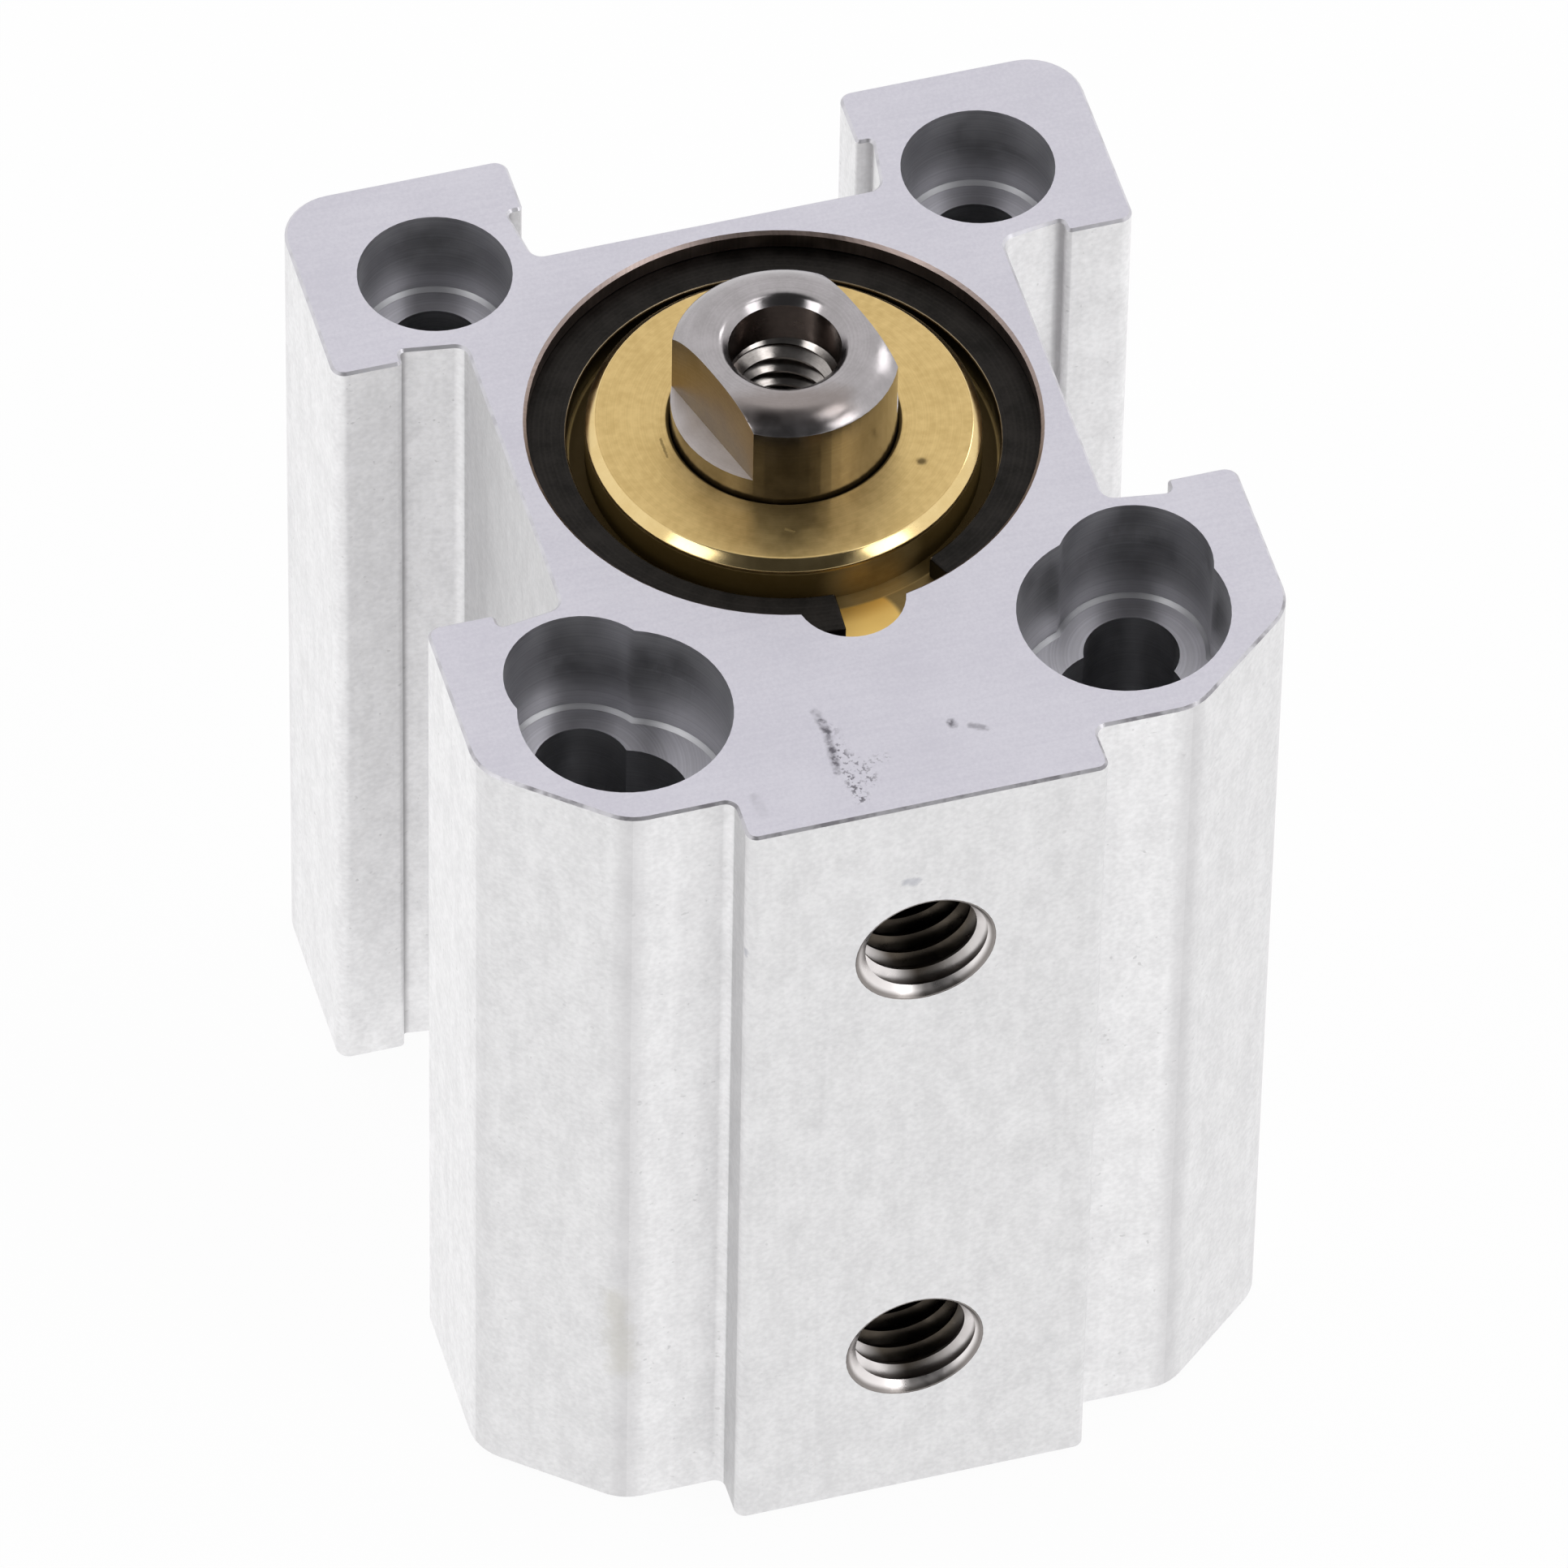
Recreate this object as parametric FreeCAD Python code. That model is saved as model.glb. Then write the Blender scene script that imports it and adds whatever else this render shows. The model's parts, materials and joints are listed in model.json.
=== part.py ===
import FreeCAD
import Part
import math
import os

os.makedirs("parts", exist_ok=True)

# travel of the rod
stroke = 10.0

# body outline, half widths and distances from the bore axis
side_face = 14.7
back_face = 14.75
lobe_face = 16.65
port_face = 18.55
block_half = 6.5
chamfer_across = 4.45
chamfer_along = 3.65
back_round = 2.0
chamfer_round = 2.0
block_round = 0.4
edge_break = 0.1

# sensor slots
slot_half = 6.15
slot_undercut = 0.6
slot_taper = 0.35
lip_depth = 2.5
slot_depth = 4.85
lip_round = 0.5
step_round = 0.2
slot_floor_round = 0.5

# bore and end seats
bore_radius = 8.0
seat_step = 1.05
seat_depth = 6.25
groove_step = 0.35
bore_mouth = 0.12
notch_radius = 1.95
notch_offset = 8.53

# retaining rings
ring_inset = 0.75
ring_thickness = 1.0
ring_width = 1.75
ring_boss_gap = 0.65
ring_gap_middle = -78.2
ring_gap_angle = 28.0

# screw holes
screw_offset = 10.0
front_screw_y = 9.7
screw_hole = 1.7
screw_head = 2.76
screw_head_depth = 3.75
large_offset_x = 9.0
large_offset_y = 11.7
large_hole = 2.35
large_head = 3.76
front_head_depth = 4.7
head_floor_cone = 0.15

# air ports
port_height = 7.7
port_radius = 2.5
port_depth = 5.5
port_mouth = 0.05
passage_radius = 1.3

# rod
rod_radius = 4.0
rod_standout = 4.15
rod_chamfer = 0.8
rod_chamfer_drop = 0.5
flat_half = 3.0
flat_base = 1.1
flat_turn = 16.9
rod_thread_radius = 2.0
rod_thread_depth = 8.0
rod_thread_mouth = 0.35
stud_radius = 2.5

# rod cover
boss_standout = 0.15
boss_chamfer = 0.35
rod_hole_mouth = 0.1
spigot_gap = 1.6
seal_pocket_depth = 4.4
rod_seal_width = 1.6
rod_seal_height = 2.6
retainer_thickness = 0.6
retainer_room = 0.3

# static seals
o_ring_radius = 0.8
o_ring_squeeze = 0.08
o_ring_side_room = 0.15
rod_o_ring_radius = 0.5

# bumpers
bumper_standout = 0.6
bumper_sunk = 0.8
bumper_room = 0.4
rear_bumper_edge = 0.2

# piston
groove_land = 0.6
piston_seal_width = 2.2
piston_seal_depth = 1.9
magnet_width = 2.6
magnet_inner = 5.0
guide_width = 1.6
guide_thickness = 0.9
guide_gap_angle = 4.0
nut_recess_radius = 5.2
nut_across_flats = 8.0
nut_height = 2.7
washer_radius = 4.6
washer_thickness = 0.5
stud_tail = 0.3

# clearances
running_clearance = 0.04
fit_clearance = 0.03
stop_gap = 0.03
ring_play = 0.04
nose_margin = 0.17

# derived sizes
seat_radius = bore_radius + seat_step
groove_radius = seat_radius + groove_step
ring_inner = groove_radius - ring_width
boss_radius = ring_inner - ring_boss_gap
spigot_radius = bore_radius - spigot_gap
flange_depth = ring_inset + ring_thickness
slot_floor = side_face - slot_depth
back_floor = back_face - slot_depth
cover_radius = seat_radius - fit_clearance
pocket_radius = rod_radius + rod_seal_width
seal_low_depth = seal_pocket_depth + rod_seal_height
retainer_low_depth = seal_low_depth + retainer_thickness
cover_end_depth = retainer_low_depth + bumper_sunk
rear_bumper_inner = nut_recess_radius + rear_bumper_edge
rear_bumper_outer = spigot_radius - rear_bumper_edge
rear_stop = seat_depth + bumper_standout
piston_bottom = rear_stop + stop_gap
nose_top = port_height + passage_radius + nose_margin
seal_base = nose_top + groove_land
seal_top = seal_base + piston_seal_width
magnet_base = seal_top + groove_land
magnet_top = magnet_base + magnet_width
guide_base = magnet_top + groove_land
guide_top = guide_base + guide_width
piston_top = guide_top + groove_land
front_stop = piston_top + stroke + stop_gap
body_height = front_stop + bumper_standout + cover_end_depth
piston_radius = bore_radius - 2 * running_clearance
nut_base = piston_bottom + stud_tail
washer_base = nut_base + nut_height
washer_top = washer_base + washer_thickness


def disc(radius, low, high, x=0.0, y=0.0):
    return Part.makeCylinder(radius, high - low, FreeCAD.Vector(x, y, low))


def ring(inner, outer, low, high):
    return disc(outer, low, high).cut(disc(inner, low, high))


def taper(low_radius, high_radius, low, high, x=0.0, y=0.0):
    return Part.makeCone(low_radius, high_radius, high - low, FreeCAD.Vector(x, y, low))


def turned(profile):
    points = [FreeCAD.Vector(radius, 0, height) for radius, height in profile]
    face = Part.Face(Part.makePolygon(points + points[:1]))
    return face.revolve(FreeCAD.Vector(0, 0, 0), FreeCAD.Vector(0, 0, 1))


def corner(before, point, after, radius):
    toward_before = (before - point).normalize()
    toward_after = (after - point).normalize()
    half = toward_before.getAngle(toward_after) / 2
    reach = radius / math.tan(half)
    middle = (toward_before + toward_after).normalize()
    start = point + toward_before * reach
    end = point + toward_after * reach
    bulge = point + middle * (radius / math.sin(half) - radius)
    return start, bulge, end


def rounded_face(corners):
    points = [FreeCAD.Vector(x, y, 0) for x, y, radius in corners]
    count = len(points)
    arcs = []
    for i in range(count):
        arcs.append(corner(points[i - 1], points[i], points[(i + 1) % count], corners[i][2]))
    edges = []
    for i in range(count):
        start, bulge, end = arcs[i]
        edges.append(Part.Arc(start, bulge, end).toShape())
        edges.append(Part.makeLine(end, arcs[(i + 1) % count][0]))
    return Part.Face(Part.Wire(edges))


def slot_corners(face, floor):
    lip = face - lip_depth
    wide = slot_half + slot_undercut
    return [(face, slot_half, lip_round), (lip, slot_half, step_round), (lip, wide, step_round),
            (floor, wide - slot_taper, slot_floor_round)]


def body_outline():
    side = slot_corners(side_face, slot_floor)
    back = slot_corners(back_face, back_floor)
    right = [(block_half, -port_face, block_round), (block_half, -lobe_face, block_round)]
    right.append((side_face - chamfer_across, -lobe_face, chamfer_round))
    right.append((side_face, chamfer_along - lobe_face, chamfer_round))
    right += [(x, -y, radius) for x, y, radius in side]
    right += reversed(side)
    right.append((side_face, back_face, back_round))
    right += [(y, x, radius) for x, y, radius in back]
    left = [(-x, y, radius) for x, y, radius in reversed(right)]
    return right + left


def is_end_edge(edge):
    box = edge.BoundBox
    return box.ZLength < edge_break / 2


def body_blank():
    blank = rounded_face(body_outline()).extrude(FreeCAD.Vector(0, 0, body_height))
    return blank.makeChamfer(edge_break, [edge for edge in blank.Edges if is_end_edge(edge)])


def head_recess(radius, depth, x, y):
    floor = body_height - depth
    wall = disc(radius, floor + head_floor_cone, body_height, x, y)
    cone = taper(radius - head_floor_cone, radius, floor, floor + head_floor_cone, x, y)
    return [wall, cone]


def screw_tools():
    tools = []
    for side in (-1, 1):
        x = side * screw_offset
        tools.append(disc(screw_hole, 0, body_height, x, screw_offset))
        tools.append(disc(screw_hole, 0, body_height, x, -front_screw_y))
        tools.append(disc(large_hole, 0, body_height, side * large_offset_x, -large_offset_y))
        tools += head_recess(screw_head, screw_head_depth, x, screw_offset)
        tools += head_recess(screw_head, front_head_depth, x, -front_screw_y)
        tools += head_recess(large_head, front_head_depth, side * large_offset_x, -large_offset_y)
    return tools


def bore_tools():
    front_groove = body_height - flange_depth - ring_play
    tools = [disc(bore_radius, 0, body_height), disc(seat_radius, 0, seat_depth)]
    tools.append(disc(seat_radius, body_height - seat_depth, body_height))
    tools.append(taper(seat_radius + bore_mouth, seat_radius, 0, bore_mouth))
    tools.append(taper(seat_radius, seat_radius + bore_mouth, body_height - bore_mouth, body_height))
    tools.append(disc(groove_radius, ring_inset - ring_play, flange_depth + ring_play))
    tools.append(disc(groove_radius, front_groove, body_height - ring_inset + ring_play))
    tools.append(disc(notch_radius, body_height - flange_depth, body_height, 0, -notch_offset))
    return tools


def port_tools():
    tools = []
    inward = FreeCAD.Vector(0, 1, 0)
    for height in (port_height, body_height - port_height):
        mouth = FreeCAD.Vector(0, -port_face, height)
        tools.append(Part.makeCone(port_radius + port_mouth, port_radius, port_mouth, mouth, inward))
        tools.append(Part.makeCylinder(port_radius, port_depth, mouth, inward))
        tools.append(Part.makeCylinder(passage_radius, port_face - bore_radius / 2, mouth, inward))
    return tools


def cylinder_body():
    return body_blank().cut(screw_tools() + bore_tools() + port_tools())


def squeezed_o_ring(section, groove, wall, middle):
    crest = (groove + wall) / 2
    flat = section / 2
    lower = [(groove, middle - flat), (crest, middle - section), (wall, middle - flat)]
    upper = [(wall, middle + flat), (crest, middle + section), (groove, middle + flat)]
    return turned(lower + upper)


def static_groove(middle):
    inner = seat_radius - 2 * (o_ring_radius - o_ring_squeeze)
    half = o_ring_radius + o_ring_side_room
    return ring(inner, seat_radius, middle - half, middle + half)


def static_o_ring(middle):
    inner = seat_radius - 2 * (o_ring_radius - o_ring_squeeze)
    return squeezed_o_ring(o_ring_radius, inner, seat_radius, middle)


def retaining_ring(low):
    band = ring(ring_inner, groove_radius - fit_clearance, low, low + ring_thickness)
    base = FreeCAD.Vector(0, 0, low)
    axis = FreeCAD.Vector(0, 0, 1)
    wedge = Part.makeCylinder(2 * groove_radius, ring_thickness, base, axis, ring_gap_angle)
    wedge.rotate(base, axis, ring_gap_middle - ring_gap_angle / 2)
    return band.cut(wedge)


def cover_flange_middle():
    return (flange_depth + seat_depth) / 2


def rod_cover():
    top = body_height + boss_standout
    flange = disc(cover_radius, body_height - seat_depth, body_height - flange_depth)
    spigot = disc(spigot_radius, body_height - cover_end_depth, body_height - seat_depth)
    boss = disc(boss_radius, body_height - flange_depth, top - boss_chamfer)
    crown = taper(boss_radius, boss_radius - boss_chamfer, top - boss_chamfer, top)
    solid = flange.fuse([spigot, boss, crown])
    hole_radius = rod_radius + running_clearance
    hole = disc(hole_radius, body_height - cover_end_depth, top)
    mouth = taper(hole_radius, hole_radius + rod_hole_mouth, top - rod_hole_mouth, top)
    pocket = disc(pocket_radius, body_height - cover_end_depth, body_height - seal_pocket_depth)
    groove = static_groove(body_height - cover_flange_middle())
    return solid.cut([hole, mouth, pocket, groove]).removeSplitter()


def rod_seal():
    top = body_height - seal_pocket_depth
    low = body_height - seal_low_depth
    inner = rod_radius + running_clearance
    valley = ((inner + pocket_radius) / 2, (low + top) / 2)
    return turned([(inner, low), valley, (pocket_radius, low), (pocket_radius, top), (inner, top)])


def rod_seal_retainer():
    low = body_height - retainer_low_depth
    return ring(rod_radius + retainer_room, pocket_radius, low, body_height - seal_low_depth)


def front_bumper():
    return ring(rod_radius + bumper_room, pocket_radius, front_stop, body_height - retainer_low_depth)


def rear_cover():
    solid = disc(cover_radius, flange_depth, seat_depth).fuse(disc(boss_radius, 0, flange_depth))
    return solid.cut(static_groove(cover_flange_middle()))


def rear_bumper():
    return ring(rear_bumper_inner, rear_bumper_outer, seat_depth, rear_stop)


def rod_flats():
    reach = 4 * rod_radius
    low = body_height + flat_base
    cuts = []
    for start in (flat_half, -flat_half - reach):
        cut = Part.makeBox(reach, reach, reach, FreeCAD.Vector(start, -reach / 2, low))
        cut.rotate(FreeCAD.Vector(0, 0, 0), FreeCAD.Vector(0, 0, 1), flat_turn)
        cuts.append(cut)
    return cuts


def piston_rod():
    top = body_height + rod_standout
    shank = disc(rod_radius, piston_top, top - rod_chamfer_drop)
    tip = taper(rod_radius, rod_radius - rod_chamfer, top - rod_chamfer_drop, top)
    stud = disc(stud_radius, piston_bottom, piston_top)
    floor = top - rod_thread_depth
    hole = disc(rod_thread_radius, floor, top)
    point = taper(0, rod_thread_radius, floor - rod_thread_radius / 2, floor)
    mouth = taper(rod_thread_radius, rod_thread_radius + rod_thread_mouth, top - rod_thread_mouth, top)
    return shank.fuse([tip, stud]).cut([hole, point, mouth] + rod_flats()).removeSplitter()


def stud_hole(low, high):
    return disc(stud_radius + fit_clearance, low, high)


def piston_rear():
    nose = disc(spigot_radius, piston_bottom, nose_top)
    skirt = disc(piston_radius, nose_top, magnet_base)
    hub = disc(magnet_inner - fit_clearance, magnet_base, magnet_top)
    groove = ring(piston_radius - piston_seal_depth, bore_radius, seal_base, seal_top)
    recess = disc(nut_recess_radius, piston_bottom, washer_top)
    solid = nose.fuse([skirt, hub])
    return solid.cut([groove, recess, stud_hole(piston_bottom, magnet_top)]).removeSplitter()


def piston_front():
    solid = disc(piston_radius, magnet_top, piston_top)
    groove = ring(piston_radius - guide_thickness, bore_radius, guide_base, guide_top)
    seat = disc(stud_radius + 2 * rod_o_ring_radius, piston_top - 2 * rod_o_ring_radius, piston_top)
    return solid.cut([groove, seat, stud_hole(magnet_top, piston_top)])


def rod_o_ring():
    outer = stud_radius + 2 * rod_o_ring_radius
    return ring(stud_radius, outer, piston_top - 2 * rod_o_ring_radius, piston_top)


def magnet_ring():
    return ring(magnet_inner, piston_radius - running_clearance, magnet_base, magnet_top)


def piston_seal():
    inner = piston_radius - piston_seal_depth + running_clearance
    low = seal_base + running_clearance
    high = seal_top - running_clearance
    waist = piston_radius - running_clearance
    lip = bore_radius - running_clearance
    third = (high - low) / 3
    outside = [(waist, low), (lip, low + third), (lip, high - third), (waist, high)]
    return turned(outside + [(inner, high), (inner, low)])


def guide_ring():
    inner = piston_radius - guide_thickness + running_clearance
    low = guide_base + running_clearance
    high = guide_top - running_clearance
    band = ring(inner, bore_radius - running_clearance, low, high)
    axis = FreeCAD.Vector(0, 0, 1)
    gap = Part.makeCylinder(2 * bore_radius, high - low, FreeCAD.Vector(0, 0, low), axis, guide_gap_angle)
    return band.cut(gap)


def piston_washer():
    return ring(stud_radius + fit_clearance, washer_radius, washer_base, washer_top)


def piston_nut():
    reach = nut_across_flats / math.sqrt(3)
    turns = [math.radians(60 * i) for i in range(7)]
    points = [FreeCAD.Vector(reach * math.cos(a), reach * math.sin(a), nut_base) for a in turns]
    hexagon = Part.Face(Part.makePolygon(points)).extrude(FreeCAD.Vector(0, 0, nut_height))
    return hexagon.cut(stud_hole(nut_base, washer_base))


pieces = {
    "cylinder_body": cylinder_body(),
    "rod_cover": rod_cover(),
    "rod_cover_o_ring": static_o_ring(body_height - cover_flange_middle()),
    "rod_seal": rod_seal(),
    "rod_seal_retainer": rod_seal_retainer(),
    "front_bumper": front_bumper(),
    "front_retaining_ring": retaining_ring(body_height - flange_depth),
    "rear_cover": rear_cover(),
    "rear_cover_o_ring": static_o_ring(cover_flange_middle()),
    "rear_bumper": rear_bumper(),
    "rear_retaining_ring": retaining_ring(ring_inset),
    "piston_rod": piston_rod(),
    "piston_front": piston_front(),
    "piston_rear": piston_rear(),
    "magnet_ring": magnet_ring(),
    "rod_o_ring": rod_o_ring(),
    "piston_washer": piston_washer(),
    "piston_nut": piston_nut(),
    "piston_seal": piston_seal(),
    "guide_ring": guide_ring(),
}
for name, shape in pieces.items():
    shape.exportStep("parts/" + name + ".step")
    print(name, shape.isValid(), len(shape.Solids), round(shape.Volume, 2))
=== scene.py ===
import json
import math
import bpy
from mathutils import Matrix, Vector

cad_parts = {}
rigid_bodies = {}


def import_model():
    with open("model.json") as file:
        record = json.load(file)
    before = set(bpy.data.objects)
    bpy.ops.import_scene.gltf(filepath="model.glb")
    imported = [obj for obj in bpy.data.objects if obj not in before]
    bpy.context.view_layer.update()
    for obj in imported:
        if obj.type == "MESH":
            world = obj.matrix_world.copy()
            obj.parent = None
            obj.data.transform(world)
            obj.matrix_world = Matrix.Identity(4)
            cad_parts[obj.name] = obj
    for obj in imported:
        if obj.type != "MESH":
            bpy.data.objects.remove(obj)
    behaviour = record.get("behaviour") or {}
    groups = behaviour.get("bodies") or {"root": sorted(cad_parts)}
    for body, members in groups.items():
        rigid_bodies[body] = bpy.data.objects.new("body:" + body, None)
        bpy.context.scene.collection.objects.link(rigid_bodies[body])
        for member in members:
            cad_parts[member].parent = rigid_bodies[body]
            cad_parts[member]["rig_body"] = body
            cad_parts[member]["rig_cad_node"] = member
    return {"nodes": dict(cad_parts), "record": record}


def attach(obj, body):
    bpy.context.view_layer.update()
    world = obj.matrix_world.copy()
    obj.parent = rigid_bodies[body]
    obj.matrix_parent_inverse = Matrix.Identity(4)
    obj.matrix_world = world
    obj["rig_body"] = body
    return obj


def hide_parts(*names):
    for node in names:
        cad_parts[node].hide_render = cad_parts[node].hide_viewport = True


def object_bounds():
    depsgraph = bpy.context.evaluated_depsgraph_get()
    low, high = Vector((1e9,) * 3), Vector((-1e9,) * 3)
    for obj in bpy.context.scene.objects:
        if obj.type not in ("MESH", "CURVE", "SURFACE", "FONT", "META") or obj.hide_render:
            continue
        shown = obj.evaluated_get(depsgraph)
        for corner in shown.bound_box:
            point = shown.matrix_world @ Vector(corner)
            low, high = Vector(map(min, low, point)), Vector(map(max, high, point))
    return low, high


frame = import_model()
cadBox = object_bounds()
cadNodes = frame["nodes"]
bodyOf = {node: body for body, nodes in frame["record"]["behaviour"]["bodies"].items() for node in nodes}
mm = 0.001
print("frame loaded,", len(cadNodes), "nodes")


cameraSettings = {
    "place": (-0.126118, -0.423457, 0.518672),
    "right": (0.96221, -0.27200, 0.01283),
    "toward": (0.18918, 0.63384, -0.74997),
    "lens": 427.2,
    "sensor": 36.0,
    "near": 0.05,
    "far": 20.0,
}


def placeCamera():
    s = cameraSettings
    right = Vector(s["right"]).normalized()
    back = -Vector(s["toward"]).normalized()
    up = back.cross(right)
    turn = Matrix((right, up, back)).transposed()
    bpy.ops.object.camera_add(location=s["place"], rotation=turn.to_euler())
    camera = bpy.context.object
    camera.name = "photoCamera"
    camera.data.lens = s["lens"]
    camera.data.sensor_width = s["sensor"]
    camera.data.clip_start = s["near"]
    camera.data.clip_end = s["far"]
    bpy.context.scene.camera = camera


placeCamera()
print("camera placed")


def addNode(tree, kind, inputs=None, **values):
    made = tree.nodes.new(kind)
    for name, value in values.items():
        setattr(made, name, value)
    for key, value in (inputs or {}).items():
        if isinstance(value, bpy.types.NodeSocket):
            tree.links.new(value, made.inputs[key])
        else:
            made.inputs[key].default_value = value
    return made


def maths(tree, operation, first, second=0.0, clamp=False):
    made = addNode(tree, "ShaderNodeMath", {0: first, 1: second}, operation=operation, use_clamp=clamp)
    return made.outputs[0]


def vectors(tree, operation, first, second):
    return addNode(tree, "ShaderNodeVectorMath", {0: first, 1: second}, operation=operation).outputs


def mapRange(tree, value, low, high, toLow=0.0, toHigh=1.0):
    spread = {"Value": value, "From Min": low, "From Max": high, "To Min": toLow, "To Max": toHigh}
    return addNode(tree, "ShaderNodeMapRange", spread, interpolation_type="SMOOTHSTEP").outputs[0]


def mixColour(tree, factor, first, second):
    made = addNode(tree, "ShaderNodeMix", data_type="RGBA")
    for index, value in ((0, factor), (6, first), (7, second)):
        if isinstance(value, bpy.types.NodeSocket):
            tree.links.new(value, made.inputs[index])
        else:
            made.inputs[index].default_value = value if index == 0 else (*value, 1.0)
    return made.outputs[2]


stageSettings = {
    "floorSize": 8.0,
    "floorDrop": 0.00005,
    "floorGlow": 0.95,              # share of the white that stays in shadow
    "floorGrey": (0.95, 0.95, 0.95),
    "openingSide": (-0.19, -0.66, 0.72),    # the dark opening of the light tent
    "openingEdge": (0.62, 0.90),
    "openingLevel": 0.05,
}
softBoxes = {
    "leftBox": {"place": (-0.68, -0.30, 0.56), "size": 0.30, "power": 0.85},
    "rightBox": {"place": (0.52, -0.57, 0.55), "size": 0.30, "power": 0.85},
    "highBox": {"place": (0.36, -0.32, 0.78), "size": 0.22, "power": 0.40},
    "sideBox": {"place": (0.80, 0.30, 0.43), "size": 0.25, "power": 0.50},
}


def seenPath(tree):
    path = addNode(tree, "ShaderNodeLightPath").outputs
    seen = maths(tree, "MAXIMUM", path["Is Camera Ray"], path["Is Glossy Ray"])
    return maths(tree, "MAXIMUM", seen, path["Is Transmission Ray"])


def buildFloor():
    s = stageSettings
    bpy.ops.mesh.primitive_plane_add(size=s["floorSize"], location=(0, 0, -s["floorDrop"]))
    floor = bpy.context.object
    floor.name = "paperFloor"
    finish = bpy.data.materials.new("whitePaper")
    finish.use_nodes = True
    tree = finish.node_tree
    tree.nodes.clear()
    seen = seenPath(tree)
    matt = addNode(tree, "ShaderNodeBsdfDiffuse", {"Color": (*s["floorGrey"], 1.0)})
    glow = addNode(tree, "ShaderNodeEmission", {"Strength": 1.0})
    share = maths(tree, "MULTIPLY", seen, s["floorGlow"])
    both = addNode(tree, "ShaderNodeMixShader", {0: share, 1: matt.outputs[0], 2: glow.outputs[0]})
    addNode(tree, "ShaderNodeOutputMaterial", {"Surface": both.outputs[0]})
    finish.cycles.emission_sampling = "NONE"
    floor.data.materials.append(finish)


def buildWorld():
    s = stageSettings
    world = bpy.data.worlds.new("lightTent")
    bpy.context.scene.world = world
    world.use_nodes = True
    tree = world.node_tree
    tree.nodes.clear()
    path = addNode(tree, "ShaderNodeLightPath").outputs
    side = addNode(tree, "ShaderNodeTexCoord").outputs["Generated"]
    toward = vectors(tree, "DOT_PRODUCT", side, Vector(s["openingSide"]).normalized())["Value"]
    opening = mapRange(tree, toward, *s["openingEdge"], 1.0, s["openingLevel"])
    tent = maths(tree, "MAXIMUM", opening, path["Is Camera Ray"])
    white = addNode(tree, "ShaderNodeBackground", {"Color": (1.0, 1.0, 1.0, 1.0), "Strength": tent})
    addNode(tree, "ShaderNodeOutputWorld", {"Surface": white.outputs[0]})


def hangSoftBoxes():
    middle = (cadBox[0] + cadBox[1]) / 2
    for name, s in softBoxes.items():
        place = Vector(s["place"])
        aim = (middle - place).to_track_quat("-Z", "Y").to_euler()
        bpy.ops.object.light_add(type="AREA", location=place, rotation=aim)
        lamp = bpy.context.object
        lamp.name = name
        lamp.data.shape = "SQUARE"
        lamp.data.size = s["size"]
        lamp.data.energy = s["power"]


buildFloor()
buildWorld()
hangSoftBoxes()
bpy.context.scene.view_settings.view_transform = "Standard"
print("stage lit")


noiseSettings = {"detail": 3.0, "lineDetail": 2.0, "span": (0.3, 0.7)}     # most of a noise lies in its span
strokeFade = (0.15, 0.8)            # shares of its width over which a stroke fades out


def startFinish(name, metallic=1.0):
    finish = bpy.data.materials.new(name)
    finish.use_nodes = True
    tree = finish.node_tree
    shader = tree.nodes["Principled BSDF"]
    shader.inputs["Metallic"].default_value = metallic
    place = addNode(tree, "ShaderNodeTexCoord").outputs["Object"]
    return finish, tree, shader, place


def grain(tree, place, size, stretch=(1.0, 1.0, 1.0), detail=noiseSettings["detail"]):
    scaled = addNode(tree, "ShaderNodeMapping", {"Vector": place, "Scale": stretch}).outputs[0]
    made = addNode(tree, "ShaderNodeTexNoise", {"Vector": scaled, "Scale": 1.0 / size, "Detail": detail})
    return made.outputs["Fac"]


def weigh(tree, parts):             # weighted sum of several grains
    result = 0.0
    for value, weight in parts:
        result = maths(tree, "ADD", result, maths(tree, "MULTIPLY", value, weight))
    return result


def roughen(tree, value, limits):
    return mapRange(tree, value, *noiseSettings["span"], *limits)


def lay(tree, shader, colour, roughness, height, strength, depth):
    tree.links.new(colour, shader.inputs["Base Color"])
    tree.links.new(roughness, shader.inputs["Roughness"])
    bump = addNode(tree, "ShaderNodeBump", {"Height": height, "Strength": strength, "Distance": depth})
    tree.links.new(bump.outputs[0], shader.inputs["Normal"])


def splitPlace(tree, place):
    return addNode(tree, "ShaderNodeSeparateXYZ", {0: place}).outputs


def fromAxis(tree, place):
    flat = vectors(tree, "MULTIPLY", place, (1.0, 1.0, 0.0))["Vector"]
    return vectors(tree, "LENGTH", flat, (0.0, 0.0, 0.0))["Value"]


def aroundAxis(tree, place):        # runs on over shoulders, walls and end faces
    return maths(tree, "ADD", fromAxis(tree, place), splitPlace(tree, place)["Z"])


def turnedLines(tree, along, size):
    spread = addNode(tree, "ShaderNodeCombineXYZ", {0: along}).outputs[0]
    values = {"Vector": spread, "Scale": 1.0 / size, "Detail": noiseSettings["lineDetail"]}
    return addNode(tree, "ShaderNodeTexNoise", values).outputs["Fac"]


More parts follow.
